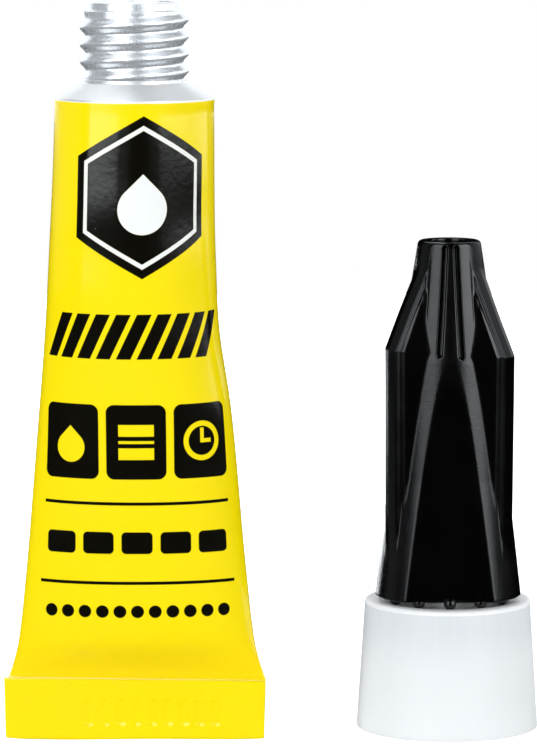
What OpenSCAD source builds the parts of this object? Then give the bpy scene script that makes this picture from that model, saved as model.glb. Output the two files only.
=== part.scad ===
// Super glue tube standing on its folded tail, with its closure taken off and standing beside it.
// Millimetres, Z up. The origin is under the middle of the whole set, on the surface that it stands on.

/* [Tube] */
// Outside diameter of the tube at its shoulder
tube_d = 13.5; // [11:0.1:16]
// Height of the edge between tube and shoulder
shoulder_z = 55.2; // [45:0.1:70]
// Thickness of the tube wall
tube_wall = 0.16; // [0.12:0.01:0.2]
// Width of the flattened tail
tail_width = 22.7; // [20:0.1:26]
// Height of the folded tail strip
tail_fold_h = 5.4; // [4:0.1:7]
// Height above the fold over which the pressed wall opens to its full depth
tail_open_h = 4.5; // [3:0.1:8]
// Thickness of one pressed layer of the tail fold
tail_ply = 0.45; // [0.3:0.01:0.55]
// Slit between the two layers of the tail fold
tail_slit = 0.06; // [0.04:0.01:0.1]
// Corner radius of the tail strip
tail_corner_r = 0.3; // [0.2:0.1:1.5]

/* [Neck] */
// Length of the neck above the shoulder
neck_len = 6.7; // [6:0.1:9]
// Rise of the shoulder cone
shoulder_rise = 1.3; // [0.8:0.1:2]
// Diameter at the root of the neck thread
neck_root_d = 8.27; // [8:0.01:8.6]
// Diameter over the crest of the neck thread
neck_crest_d = 9.2; // [8.9:0.01:9.4]
// Pitch of the neck thread
neck_pitch = 1.44; // [1.3:0.01:1.6]
// Diameter of the plain pilot at the mouth
pilot_d = 7.7; // [7.4:0.1:8]
// Length of the plain pilot at the mouth
pilot_len = 0.7; // [0.5:0.1:1.2]
// Length of the plain collar at the root of the neck
collar_len = 0.25; // [0.2:0.05:1]
// Diameter of the bore through the neck
neck_bore_d = 6.4; // [5.5:0.1:6.6]
// Width of the ledge that carries the membrane
membrane_ledge = 0.25; // [0.15:0.01:0.3]
// Thickness of the membrane
membrane_t = 0.15; // [0.1:0.01:0.3]
// Depth of the membrane under the rim of the mouth
membrane_sink = 0.1; // [0.05:0.01:0.2]

/* [Filling] */
// Height of the adhesive above the surface that the tube stands on
fill_level = 33; // [20:0.5:44]
// Gap between the filling and the tube wall
fill_gap = 0.08; // [0.05:0.01:0.2]
// Height of the latex band in the tail
seal_h = 1.6; // [1:0.1:3]

/* [Nozzle] */
// Outside diameter of the nozzle at its base
nozzle_base_d = 15.8; // [15:0.1:18]
// Outside diameter of the nozzle at its top
nozzle_top_d = 14.4; // [14:0.1:15]
// Height of the nozzle's skirt
nozzle_h = 10.95; // [10:0.05:13]
// Rounding of the top edge of the skirt
nozzle_edge_r = 0.3; // [0.15:0.05:0.5]
// Height of the lip round the top of the skirt, which the nubs of the cap stand inside
lip_h = 0.25; // [0.2:0.05:0.35]
// Gap between the lip and the nubs
lip_gap = 0.1; // [0.05:0.01:0.15]
// Wall of the skirt
skirt_wall = 0.9; // [0.7:0.05:1]
// Outside diameter of the inner threaded sleeve
sleeve_d = 11.2; // [10.8:0.1:11.4]
// How far the sleeve stays above the base
sleeve_lift = 0.4; // [0.2:0.1:0.8]
// Height of the ceiling that meets the mouth of the neck
socket_ceiling_z = 7.6; // [7.2:0.1:8.2]
// Diameter of the plain lead-in at the mouth of the socket
lead_in_d = 9.9; // [9.7:0.1:10.2]
// Height of the plain lead-in above the base
lead_in_z = 2.2; // [1.6:0.1:2.6]
// Running clearance between the neck thread and the socket
socket_clearance = 0.2; // [0.15:0.01:0.25]
// Length of the piercing spike
spike_len = 3.2; // [2:0.1:4]
// Diameter of the spike at its root
spike_root_d = 3.2; // [2.4:0.1:4]
// Diameter of the spike at its tip
spike_tip_d = 1.7; // [1.4:0.1:2]
// Thickness of the top plate of the skirt
plate_t = 1.3; // [1:0.1:1.6]
// Number of webs between sleeve and skirt
web_count = 8; // [4:1:12]
// Thickness of a web
web_t = 0.7; // [0.5:0.1:1]
// Diameter of the channel for the adhesive
channel_d = 0.9; // [0.85:0.01:1]
// Height of the post that carries the cap thread
post_h = 6.5; // [6:0.1:8]
// Diameter of the dispensing cone above the post
cone_root_d = 5.4; // [4.6:0.1:6]
// Diameter of the dispensing cone at its tip
cone_tip_d = 2.2; // [1.8:0.1:2.4]
// Length of the dispensing cone
cone_len = 18.5; // [16:0.1:19]

/* [Cap thread] */
// Diameter at the root of the cap thread on the post
post_root_d = 7.2; // [7:0.1:7.4]
// Depth of the cap thread
cap_thread_depth = 0.45; // [0.3:0.01:0.5]
// Pitch of the cap thread
cap_pitch = 1.5; // [1.4:0.01:1.7]
// Running clearance of the cap thread
cap_clearance = 0.15; // [0.1:0.01:0.2]

/* [Cap] */
// Height of the cap above its rim
cap_h = 30.9; // [29:0.1:34]
// Gap between the nubs of the closed cap and the nozzle
nub_clearance = 0.05; // [0.03:0.01:0.1]
// Drop of the nubs below the rim
nub_drop = 0.6; // [0.4:0.05:0.8]
// Diameter of one nub
nub_d = 1.1; // [0.9:0.05:1.2]
// Radius of the ring of nubs
nub_ring_r = 5.3; // [5.2:0.05:5.4]
// Number of nubs round the rim
nub_count = 12; // [6:1:16]
// Radius of the round core at the rim
core_rim_r = 6.4; // [6.2:0.05:7]
// Radius of the core at the height of the waist
core_waist_r = 5.15; // [5:0.05:5.4]
// Height of the waist above the rim
waist_rise = 10.4; // [9:0.1:12]
// Radius of the core where the slots end
core_shoulder_r = 4.27; // [4.1:0.01:4.5]
// Height of the shoulder above the rim
shoulder_rise_cap = 20.6; // [20:0.1:22]
// Radius of the core at the tip
tip_r = 2.75; // [2.5:0.05:3]
// Rounding of the edge of the tip
tip_edge_r = 0.4; // [0.2:0.05:0.6]
// Diameter of the round recess in the tip
recess_d = 3; // [2.4:0.1:3.6]
// Depth of the recess in the tip
recess_depth = 2.1; // [1.5:0.1:2.4]
// Distance of a flat panel from the axis at the rim
panel_rim_reach = 5.15; // [5.1:0.01:5.3]
// Distance of a flat panel from the axis at the shoulder
panel_shoulder_reach = 4.28; // [4.2:0.01:4.4]
// Distance of the sunk side faces from the axis
face_reach = 3.55; // [3.4:0.01:3.8]
// Distance of the sunk side faces from the axis at the top of the ribs
face_top_reach = 1.75; // [1.6:0.01:2]
// Width of a rib
rib_width = 1.9; // [1.4:0.1:2.4]
// Slope of the two roof faces of a rib
rib_roof_angle = 12; // [6:1:16]
// Distance of a rib's faces from the axis at its foot
rib_rim_reach = 5.85; // [5.7:0.01:6]
// Distance of a rib's faces from the axis at its bend
rib_reach = 6; // [5.9:0.01:6.2]
// Distance of a rib's faces from the axis where the rib meets the tip
rib_top_reach = 2.55; // [2.45:0.01:2.65]
// How far a rib stands out of the body beside it
rib_stand = 0.45; // [0.3:0.05:0.6]
// Height of the bend of a rib above the rim
rib_bend_rise = 21.4; // [20.2:0.1:22.2]
// Height of the upper end of a rib above the rim
rib_top_rise = 29; // [28:0.1:29.5]
// Width of a slot beside a short rib
slot_width = 0.45; // [0.3:0.01:0.6]
// Depth of a slot
slot_depth = 0.5; // [0.3:0.05:0.7]
// Angle of a slot from the middle of its side
slot_angle = 13.6; // [12:0.1:15]
// Distance of a slot's upper end from the tip
slot_top_gap = 0.35; // [0.3:0.05:1]
// Height of a slot's lower end above the shoulder
slot_foot_rise = 0.45; // [0.3:0.05:1]
// Height of the cap's ceiling above the rim
ceiling_rise = 25.9; // [25.5:0.1:26.2]
// Diameter of the cap's cavity above the thread
cavity_root_d = 7.2; // [6.8:0.1:7.4]
// Diameter of the cap's cavity at its ceiling
cavity_tip_d = 3.4; // [3:0.1:3.8]

/* [Clearing needle] */
// Diameter of the needle
needle_d = 0.7; // [0.6:0.01:0.75]
// Length of the needle below the cap's ceiling
needle_reach = 6; // [4:0.1:8]
// Length of the needle inside the cap
needle_seat = 1.6; // [1:0.1:2]
// Running clearance round the needle
needle_clearance = 0.04; // [0.02:0.01:0.06]

/* [Placing] */
// Sideways distance between the axes of tube and closure
closure_aside = 26.9; // [24:0.1:40]
// Distance by which the closure stands behind the tube
closure_behind = 6.6; // [2:0.1:9]

/* [Hidden] */
$fn = 96;
// One overrun serves all cuts
overrun = 0.2;
// How far a ridge is sunk into the wall that carries it
ridge_sink = 0.12;
// Step between the soft tube wall and the skirt of the shoulder
seam_step = 0.04;
// Overlap of the shoulder's skirt with the tube wall
skirt_overlap = 1;
// Thickness of the shoulder and of the neck's ledge
shoulder_t = 0.5;
// How far the tail's layer reaches up into the flattened tube
tail_root = 0.5;
// Rounding of the edges of the tail fold
tail_edge_r = 0.16;
// How far the ribs' feet stay above the rim, inside the core
rib_foot_rise = 0.5;
// Chamfer at the rim of the cap's thread
rim_chamfer = 0.3;

// Flattening of the tube: heights between tail and shoulder, and widths between round and flat
level_shares = [0, 0.015, 0.035, 0.065, 0.11, 0.17, 0.25, 0.35, 0.45, 0.55, 0.65, 0.75, 0.85, 1];
width_shares = [0.976, 0.913, 0.841, 0.757, 0.683, 0.613, 0.528, 0.438, 0.343, 0.237, 0.137, 0.072, 0.033, 0];
// Number of flattened levels that are pressed solid, at the tail end
solid_level_count = 2;
// Number of sides of a flattened ring
ring_sides = 48;
// Number of sides of the cap, each with its flat panel
cap_sides = 3;
// Number of steps in the search for a ring's depth
search_steps = 30;
// Number of steps in a rounded edge
edge_steps = 4;
// Number of steps in one turn of a thread
turn_steps = 24;
// Share of a turn over which a thread runs out
runout_share = 0.4;
// Crest height at the very end of a thread
runout_end_share = 0.2;
// Widths of a thread ridge at its root and its crest, of its pitch: on the cap's thread, on the neck, where the
// ridge is broad and rounded, and in the socket, where it fits between the turns on the neck
ridge_shares = [0.5, 0.17];
neck_ridge_shares = [0.72, 0.36];
socket_ridge_shares = [0.4, 0.14];

// Places of the tube and the closure, so that the whole set is centred on the origin
set_left = -tail_width / 2;
set_right = closure_aside + nozzle_base_d / 2;
set_front = -tube_d / 2;
set_back = closure_behind + nozzle_base_d / 2;
tube_at = [-(set_left + set_right) / 2, -(set_front + set_back) / 2, 0];
closure_at = tube_at + [closure_aside, closure_behind, 0];

// Heights of the neck
neck_foot_z = shoulder_z + shoulder_rise;
neck_top_z = neck_foot_z + neck_len;
thread_start_z = neck_foot_z + collar_len + neck_pitch / 2;
thread_end_z = neck_top_z - pilot_len - neck_pitch * neck_ridge_shares[0] / 2;

// Heights and radii of the closure
rim_z = nozzle_h + nub_clearance + nub_drop;
lip_inside_r = nub_ring_r + nub_d / 2 + lip_gap;
tip_z = rim_z + cap_h;
waist_z = rim_z + waist_rise;
cap_shoulder_z = rim_z + shoulder_rise_cap;
ceiling_z = rim_z + ceiling_rise;
rib_foot_z = rim_z + rib_foot_rise;
rib_bend_z = rim_z + rib_bend_rise;
rib_top_z = rim_z + rib_top_rise;
post_top_z = nozzle_h + post_h;
cone_tip_z = post_top_z + cone_len;
plate_foot_z = nozzle_h - plate_t;
socket_root_d = neck_crest_d + 2 * socket_clearance;
socket_crest_d = neck_root_d + 2 * socket_clearance;
cap_bore_d = post_root_d + 2 * cap_thread_depth + 2 * cap_clearance;
cap_crest_d = post_root_d + 2 * cap_clearance;
cap_thread_top_z = post_top_z + cap_clearance;
post_thread_z = nozzle_h + cap_pitch;

function mix(a, b, share) = a + (b - a) * share;
function ease(share) = let (s = min(max(share, 0), 1)) s * s * (3 - 2 * s);
function skirt_inside_r(z) = mix(nozzle_base_d, nozzle_top_d, z / plate_foot_z) / 2 - skirt_wall;
function turned(r, angle) = [r * cos(angle), r * sin(angle)];
function arc(centre, r, from, to, steps) =
    [for (i = [0:steps]) centre + turned(r, mix(from, to, i / steps))];

// Girth of an ellipse, and the half depth that keeps a ring's girth at a given half width
function girth(a, b) = PI * (3 * (a + b) - sqrt((3 * a + b) * (a + 3 * b)));
function half_depth(a, wanted, low, high, steps) =
    let (middle = (low + high) / 2)
    steps == 0 ? middle
    : girth(a, middle) > wanted ? half_depth(a, wanted, low, middle, steps - 1)
    : half_depth(a, wanted, middle, high, steps - 1);

tail_top_z = tail_fold_h - tail_root;
function level_z(i) = mix(tail_top_z, shoulder_z - skirt_overlap / 2, level_shares[i]);
function level_half_width(i) = mix(tube_d, tail_width, width_shares[i]) / 2;
function level_girth(i) = mix(PI * tube_d, 2 * tail_width, width_shares[i]);
function level_half_depth(i) =
    let (full = half_depth(level_half_width(i), level_girth(i), 0, tail_width / 2, search_steps))
    mix(tail_ply / 2, full, ease((level_z(i) - tail_top_z) / tail_open_h));

// A flattened ring of the tube at a level, or at a height between two levels, inset from the outside
function ring(a, b, z) =
    [for (j = [0:ring_sides - 1]) let (t = 360 * j / ring_sides) [a * cos(t), b * sin(t), z]];
function level_ring(i, inset) = ring(level_half_width(i) - inset, level_half_depth(i) - inset, level_z(i));
function level_below(z) = max([for (i = [0:len(level_shares) - 2]) level_z(i) <= z ? i : 0]);
function ring_at(z, inset) =
    let (i = level_below(z), share = (z - level_z(i)) / (level_z(i + 1) - level_z(i)))
    ring(
        mix(level_half_width(i), level_half_width(i + 1), share) - inset,
        mix(level_half_depth(i), level_half_depth(i + 1), share) - inset,
        z
    );

// Skin over a row of equal rings, closed flat at its two ends
module loft(rings) {
    sides = len(rings[0]);
    last = (len(rings) - 1) * sides;
    skin = [
        for (i = [0:len(rings) - 2], j = [0:sides - 1])
            let (a = i * sides + j, b = i * sides + (j + 1) % sides)
            each [[a, a + sides, b], [b, a + sides, b + sides]]
    ];
    ends = [[for (j = [0:sides - 1]) j], [for (j = [sides - 1:-1:0]) last + j]];
    polyhedron([for (r = rings) each r], concat(skin, ends));
}

// Right-hand thread ridge from a wall radius to a crest radius, inside or outside the wall
module thread_ridge(wall_r, crest_r, pitch, shares, from_z, to_z) {
    outside = crest_r > wall_r;
    sunk_r = outside ? wall_r - ridge_sink : wall_r + ridge_sink;
    turns = (to_z - from_z) / pitch;
    steps = ceil(turns * turn_steps);
    root = pitch * shares[0] / 2;
    crest = pitch * shares[1] / 2;
    loft([
        for (i = [0:steps])
            let (
                turn = turns * i / steps,
                from_end = min(turn, turns - turn) / runout_share,
                r = mix(wall_r, crest_r, mix(runout_end_share, 1, min(1, from_end))),
                z = from_z + pitch * turn,
                section = [[sunk_r, -root], [sunk_r, root], [r, crest], [r, -crest]],
                order = outside ? [0, 1, 2, 3] : [3, 2, 1, 0]
            )
            [for (k = order) [each turned(section[k][0], 360 * turn), z + section[k][1]]]
    ]);
}

// A flat outline of depth and height, drawn out along X
module along_x(width) {
    rotate([90, 0, 90]) linear_extrude(height = width, center = true) children();
}

// Neck and shoulder, with a short skirt that holds the tube wall
module neck() {
    r = tube_d / 2;
    skirt_z = shoulder_z - skirt_overlap;
    ledge_r = neck_bore_d / 2 + membrane_ledge;
    ledge_z = neck_top_z - membrane_sink - membrane_t;
    collar_r = (neck_root_d + neck_crest_d) / 4;
    rotate_extrude() polygon([
        [r, skirt_z], [r, shoulder_z],
        [collar_r, neck_foot_z], [collar_r, neck_foot_z + collar_len],
        [neck_root_d / 2, neck_foot_z + collar_len], [neck_root_d / 2, neck_top_z - pilot_len],
        [pilot_d / 2, neck_top_z - pilot_len], [pilot_d / 2, neck_top_z],
        [ledge_r, neck_top_z], [ledge_r, ledge_z], [neck_bore_d / 2, ledge_z],
        [neck_bore_d / 2, neck_foot_z - shoulder_t], [r - tube_wall, shoulder_z - shoulder_t],
        [r - tube_wall, skirt_z],
    ]);
    thread_ridge(
        neck_root_d / 2, neck_crest_d / 2, neck_pitch, neck_ridge_shares, thread_start_z, thread_end_z
    );
}

// Soft tube wall: round under the shoulder, flat at the tail, hollow above the fold
module tube_wall_loft() {
    top = len(level_shares) - 1;
    loft(concat(
        [for (i = [0:top]) level_ring(i, seam_step)],
        [for (i = [top:-1:solid_level_count]) level_ring(i, seam_step + tube_wall)]
    ));
}

// Folded tail: the flattened wall goes down, turns round and comes up again in front
module tail_fold() {
    inside_y = tail_ply / 2;
    front_y = -inside_y - tail_slit - tail_ply;
    e = tail_edge_r;
    intersection() {
        along_x(tail_width) difference() {
            polygon(concat(
                arc([front_y + e, e], e, 180, 270, edge_steps),
                arc([inside_y - e, e], e, 270, 360, edge_steps),
                [[inside_y, tail_fold_h + tail_root], [-inside_y, tail_fold_h + tail_root]],
                [[-inside_y, tail_fold_h]],
                arc([front_y + e, tail_fold_h - e], e, 90, 180, edge_steps)
            ));
            translate([-inside_y - tail_slit, tail_ply]) square([tail_slit, tail_fold_h]);
        }
        rotate([90, 0, 0]) linear_extrude(height = tail_width, center = true) tail_outline();
    }
}

// Outline of the tail strip with its rounded lower corners
module tail_outline() {
    r = tail_corner_r;
    side = tail_width / 2;
    top_z = tail_fold_h + tail_root;
    polygon(concat(
        [[-side, top_z]],
        arc([r - side, r], r, 180, 270, edge_steps),
        arc([side - r, r], r, 270, 360, edge_steps),
        [[side, top_z]]
    ));
}

module tube_shell() {
    color("gold") translate(tube_at) {
        neck();
        tube_wall_loft();
        tail_fold();
    }
}

module pierce_membrane() {
    r = neck_bore_d / 2 + membrane_ledge;
    foot_z = neck_top_z - membrane_sink - membrane_t;
    color("lightgray") translate(tube_at + [0, 0, foot_z]) cylinder(membrane_t, r = r);
}

// The filling follows the tube wall at a small gap
fill_inset = seam_step + tube_wall + fill_gap;
seal_foot_z = level_z(solid_level_count) + fill_gap;
seal_top_z = seal_foot_z + seal_h;

module filling(from_z, to_z) {
    between = [for (i = [0:len(level_shares) - 1]) if (level_z(i) > from_z && level_z(i) < to_z) i];
    loft(concat(
        [ring_at(from_z, fill_inset)],
        [for (i = between) level_ring(i, fill_inset)],
        [ring_at(to_z, fill_inset)]
    ));
}

module end_seal() {
    color("wheat") translate(tube_at) filling(seal_foot_z, seal_top_z);
}

module adhesive_fill() {
    color("aliceblue") translate(tube_at) filling(seal_top_z + fill_gap, fill_level);
}

// Section of the whole nozzle, from the skirt over the post to the spike and the socket
module nozzle_section() {
    base_r = nozzle_base_d / 2;
    top_r = nozzle_top_d / 2;
    channel_r = channel_d / 2;
    spike_z = socket_ceiling_z - spike_len;
    e = nozzle_edge_r;
    polygon(concat(
        [[skirt_inside_r(0), 0], [base_r, 0]],
        arc([top_r - e, nozzle_h + lip_h - e], e, 0, 90, edge_steps),
        [
            [lip_inside_r, nozzle_h + lip_h], [lip_inside_r, nozzle_h], [post_root_d / 2, nozzle_h],
            [post_root_d / 2, post_top_z], [cone_root_d / 2, post_top_z],
            [cone_tip_d / 2, cone_tip_z], [channel_r, cone_tip_z], [channel_r, spike_z],
            [spike_tip_d / 2, spike_z], [spike_root_d / 2, socket_ceiling_z],
            [socket_root_d / 2, socket_ceiling_z], [socket_root_d / 2, lead_in_z],
            [lead_in_d / 2, lead_in_z], [lead_in_d / 2, sleeve_lift],
            [sleeve_d / 2, sleeve_lift], [sleeve_d / 2, plate_foot_z],
            [skirt_inside_r(plate_foot_z), plate_foot_z],
        ]
    ));
}

// Webs that follow the sloping inside of the skirt
module nozzle_webs() {
    from_r = sleeve_d / 2 - ridge_sink;
    top_z = plate_foot_z + plate_t / 2;
    for (i = [0:web_count - 1])
        rotate([90, 0, 360 * i / web_count]) linear_extrude(height = web_t, center = true) polygon([
            [from_r, lead_in_z], [skirt_inside_r(lead_in_z) + ridge_sink, lead_in_z],
            [skirt_inside_r(top_z) + ridge_sink, top_z], [from_r, top_z],
        ]);
}

module nozzle() {
    color("white") translate(closure_at) {
        rotate_extrude() nozzle_section();
        nozzle_webs();
        thread_ridge(
            socket_root_d / 2, socket_crest_d / 2, neck_pitch, socket_ridge_shares,
            lead_in_z + neck_pitch / 2, socket_ceiling_z - neck_pitch / 2
        );
        thread_ridge(
            post_root_d / 2, post_root_d / 2 + cap_thread_depth, cap_pitch, ridge_shares,
            post_thread_z, post_top_z - cap_pitch / 2
        );
    }
}

// Round core of the cap, which its panels flatten
module cap_core() {
    e = tip_edge_r;
    difference() {
        rotate_extrude() polygon(concat(
            [[0, rim_z], [core_rim_r, rim_z], [core_waist_r, waist_z], [core_shoulder_r, cap_shoulder_z]],
            arc([tip_r - e, tip_z - e], e, 0, 90, edge_steps),
            [[0, tip_z]]
        ));
        on_sides() along_x(2 * core_rim_r) polygon([
            [-panel_rim_reach, rim_z], [-panel_shoulder_reach, cap_shoulder_z],
            [-core_rim_r - overrun, cap_shoulder_z], [-core_rim_r - overrun, rim_z - overrun],
            [-panel_rim_reach, rim_z - overrun],
        ]);
    }
}

// Copies on each side of the cap
module on_sides() {
    for (i = [0:cap_sides - 1]) rotate(360 * i / cap_sides) children();
}

// Three-sided grip: sunk flat faces that meet under the ribs
module cap_grip() {
    stand = rib_stand;
    intersection() {
        intersection_for(i = [0:cap_sides - 1]) rotate(360 * i / cap_sides) grip_half();
        rotate_extrude() polygon([
            [0, rib_foot_z], [rib_rim_reach - stand, rib_foot_z], [rib_reach - stand, rib_bend_z],
            [rib_top_reach - stand, rib_top_z], [0, rib_top_z],
        ]);
    }
}

// Everything behind one of the sunk faces
module grip_half() {
    along_x(4 * core_rim_r) polygon([
        [-face_reach, rim_z], [-face_reach, rib_bend_z], [-face_top_reach, rib_top_z],
        [2 * core_rim_r, rib_top_z], [2 * core_rim_r, rim_z],
    ]);
}

// Ribs on the corners of the grip, each with a roof of two faces
module cap_ribs() {
    rotate(180 / cap_sides) on_sides() intersection() {
        rotate(rib_roof_angle) rib_side();
        rotate(-rib_roof_angle) rib_side();
        translate([-rib_width / 2, -core_rim_r, rim_z]) cube([rib_width, core_rim_r, cap_h]);
    }
}

// Everything inside one roof face of a rib
module rib_side() {
    along_x(2 * core_rim_r) polygon([
        [0, rib_foot_z], [-rib_rim_reach, rib_foot_z], [-rib_reach, rib_bend_z],
        [-rib_top_reach, rib_top_z], [0, rib_top_z],
    ]);
}

// Two slots on each side, which leave a short rib between them
module cap_slots() {
    slope = atan2(core_shoulder_r - tip_r, tip_z - cap_shoulder_z);
    foot = slot_foot_rise / cos(slope);
    length = (tip_z - slot_top_gap - cap_shoulder_z) / cos(slope) - foot;
    on_sides() for (side = [-1, 1])
        rotate(side * slot_angle) translate([0, -core_shoulder_r, cap_shoulder_z]) rotate([-slope, 0, 0])
            translate([0, slot_depth, 0]) rotate([90, 0, 0]) linear_extrude(height = slot_depth + overrun)
                translate([0, foot]) slot_outline(length);
}

module slot_outline(length) {
    r = slot_width / 2;
    translate([-r, r]) square([slot_width, length - slot_width]);
    translate([0, r]) circle(r);
    translate([0, length - r]) circle(r);
}

// Room in the cap for the post, the dispensing cone and the needle, and the recess in its tip
module cap_hollows() {
    bore_r = cap_bore_d / 2;
    rotate_extrude() polygon([
        [0, rim_z - overrun], [bore_r + rim_chamfer, rim_z - overrun], [bore_r + rim_chamfer, rim_z],
        [bore_r, rim_z + rim_chamfer], [bore_r, cap_thread_top_z], [cavity_root_d / 2, cap_thread_top_z],
        [cavity_tip_d / 2, ceiling_z], [0, ceiling_z],
    ]);
    translate([0, 0, ceiling_z - overrun])
        cylinder(needle_seat + needle_clearance + overrun, d = needle_d + 2 * needle_clearance);
    translate([0, 0, tip_z - recess_depth]) cylinder(recess_depth + overrun, d = recess_d);
}

module cap_nubs() {
    for (i = [0:nub_count - 1])
        rotate(360 * i / nub_count)
            translate([0, -nub_ring_r, rim_z - nub_drop + nub_d / 2]) sphere(d = nub_d);
}

module cap() {
    color("dimgray") translate(closure_at) {
        difference() {
            union() {
                cap_core();
                cap_grip();
                cap_ribs();
                cap_nubs();
            }
            cap_slots();
            cap_hollows();
        }
        thread_ridge(
            cap_bore_d / 2, cap_crest_d / 2, cap_pitch, ridge_shares,
            post_thread_z + cap_pitch / 2, cap_thread_top_z - cap_pitch / 2
        );
    }
}

module clearing_needle() {
    foot_z = ceiling_z - needle_reach;
    color("silver") translate(closure_at + [0, 0, foot_z]) cylinder(needle_reach + needle_seat, d = needle_d);
}

tube_shell();
pierce_membrane();
end_seal();
adhesive_fill();
nozzle();
cap();
clearing_needle();
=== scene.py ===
# %% [markdown]
# # A super glue tube and its closure
# The set is a soft aluminium tube that stands on its folded tail, and beside it the white nozzle with its
# black screw cap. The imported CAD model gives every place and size, so it is loaded first and stays fixed.
# What is built here are finer skins and finishes, in the same frame.

# %% Load the fixed frame
import math

import bmesh
import bpy
import numpy as np
from mathutils import Matrix, Vector


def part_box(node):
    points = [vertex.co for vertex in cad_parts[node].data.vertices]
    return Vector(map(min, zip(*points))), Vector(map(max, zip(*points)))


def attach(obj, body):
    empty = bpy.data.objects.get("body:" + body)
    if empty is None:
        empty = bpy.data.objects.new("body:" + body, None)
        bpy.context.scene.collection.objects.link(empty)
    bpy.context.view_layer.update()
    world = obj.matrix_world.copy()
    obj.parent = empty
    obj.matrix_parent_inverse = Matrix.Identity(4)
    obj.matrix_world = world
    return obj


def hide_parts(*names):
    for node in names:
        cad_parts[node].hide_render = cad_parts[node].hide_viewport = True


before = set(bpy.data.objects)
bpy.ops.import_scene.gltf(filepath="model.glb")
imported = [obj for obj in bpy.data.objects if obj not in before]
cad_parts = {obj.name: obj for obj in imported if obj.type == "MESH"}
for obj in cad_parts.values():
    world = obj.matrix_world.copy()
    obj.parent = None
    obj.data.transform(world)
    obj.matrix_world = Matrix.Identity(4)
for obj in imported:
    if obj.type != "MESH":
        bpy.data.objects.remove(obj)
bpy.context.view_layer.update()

MM = 0.001

# %% [markdown]
# ## The camera
# A product photographer takes such a small set with a long lens from well away, so that upright edges stay
# parallel. The camera looks about seven degrees down. A long lens means a large focal length here too, and
# the picture's long side is the one that the sensor width counts for.

# %% Camera
PICTURE_HEIGHT = 747
FOCAL_PIXELS = 4300
LOOK_DOWN = 7.1
CAMERA_PLACE = Vector((-0.425, -366.775, 76.9)) * MM

camera_data = bpy.data.cameras.new("product_camera")
camera_data.sensor_width = 36
camera_data.lens = FOCAL_PIXELS / PICTURE_HEIGHT * camera_data.sensor_width
camera_data.clip_start = 0.01
camera = bpy.data.objects.new("product_camera", camera_data)
camera.location = CAMERA_PLACE
camera.rotation_euler = (math.radians(90 - LOOK_DOWN), 0, 0)
bpy.context.scene.collection.objects.link(camera)
bpy.context.scene.camera = camera
bpy.context.scene.view_settings.view_transform = "Standard"
print("lens in millimetres:", round(camera_data.lens, 1))

# %% [markdown]
# ## The studio
# The set stands on a white sweep in a white room that fills the shadows. Gloss is another matter: it shows
# what surrounds it, and a black cap needs a dark room with a few clear panels. Cycles can treat the two
# apart. The world gives the even fill and the white background and is hidden from reflections, which see
# only the lamps. Two softboxes in front give light and reflections, and two behind give light alone.

# %% Room
ROOM_FILL = 0.22


def white_to_camera(tree, fill):
    """A strength that is 1 for the camera and `fill` for every other ray."""
    rays = tree.nodes.new("ShaderNodeLightPath")
    strength = tree.nodes.new("ShaderNodeMix")
    strength.inputs["A"].default_value = fill
    strength.inputs["B"].default_value = 1.0
    tree.links.new(rays.outputs["Is Camera Ray"], strength.inputs["Factor"])
    return strength.outputs["Result"]


room = bpy.data.worlds.new("studio_room")
bpy.context.scene.world = room
room.use_nodes = True
room.cycles_visibility.glossy = False
light = room.node_tree.nodes["Background"]
light.inputs["Color"].default_value = (1, 1, 1, 1)
room.node_tree.links.new(white_to_camera(room.node_tree, ROOM_FILL), light.inputs["Strength"])
print("room fill:", ROOM_FILL)

# %% Softboxes
COOL_WHITE = (0.93, 0.97, 1.0)


def panel(name, width, height, brightness, place, turn):
    """A lamp with even brightness that the camera doesn't see."""
    data = bpy.data.lights.new(name, "AREA")
    data.shape = "RECTANGLE"
    data.size, data.size_y = width, height
    data.energy = 4 * brightness * width * height
    data.color = COOL_WHITE
    lamp = bpy.data.objects.new(name, data)
    lamp.location = place
    lamp.rotation_euler = turn
    lamp.visible_camera = False
    bpy.context.scene.collection.objects.link(lamp)
    print(name, "gives", round(data.energy, 2), "watts")
    return lamp


def softbox(name, azimuth, spread, foot_z, height, brightness, distance=0.5):
    """An upright panel over `spread` degrees round `azimuth`, counted from the front to the right."""
    turn = math.radians(azimuth)
    width = 2 * distance * math.tan(math.radians(spread / 2))
    place = (distance * math.sin(turn), -distance * math.cos(turn), foot_z + height / 2)
    return panel(name, width, height, brightness, place, (math.pi / 2, 0, turn))


softbox("left_softbox", azimuth=-43.5, spread=43, foot_z=0.005, height=0.7, brightness=2.4)
right_softbox = softbox("right_softbox", azimuth=58.5, spread=45, foot_z=0.005, height=0.6, brightness=1.8)
for name, azimuth in [("back_fill_left", -140), ("back_fill_right", 140)]:
    back_fill = softbox(name, azimuth, spread=45, foot_z=0.005, height=0.6, brightness=1.1)
    back_fill.visible_glossy = False

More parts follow.
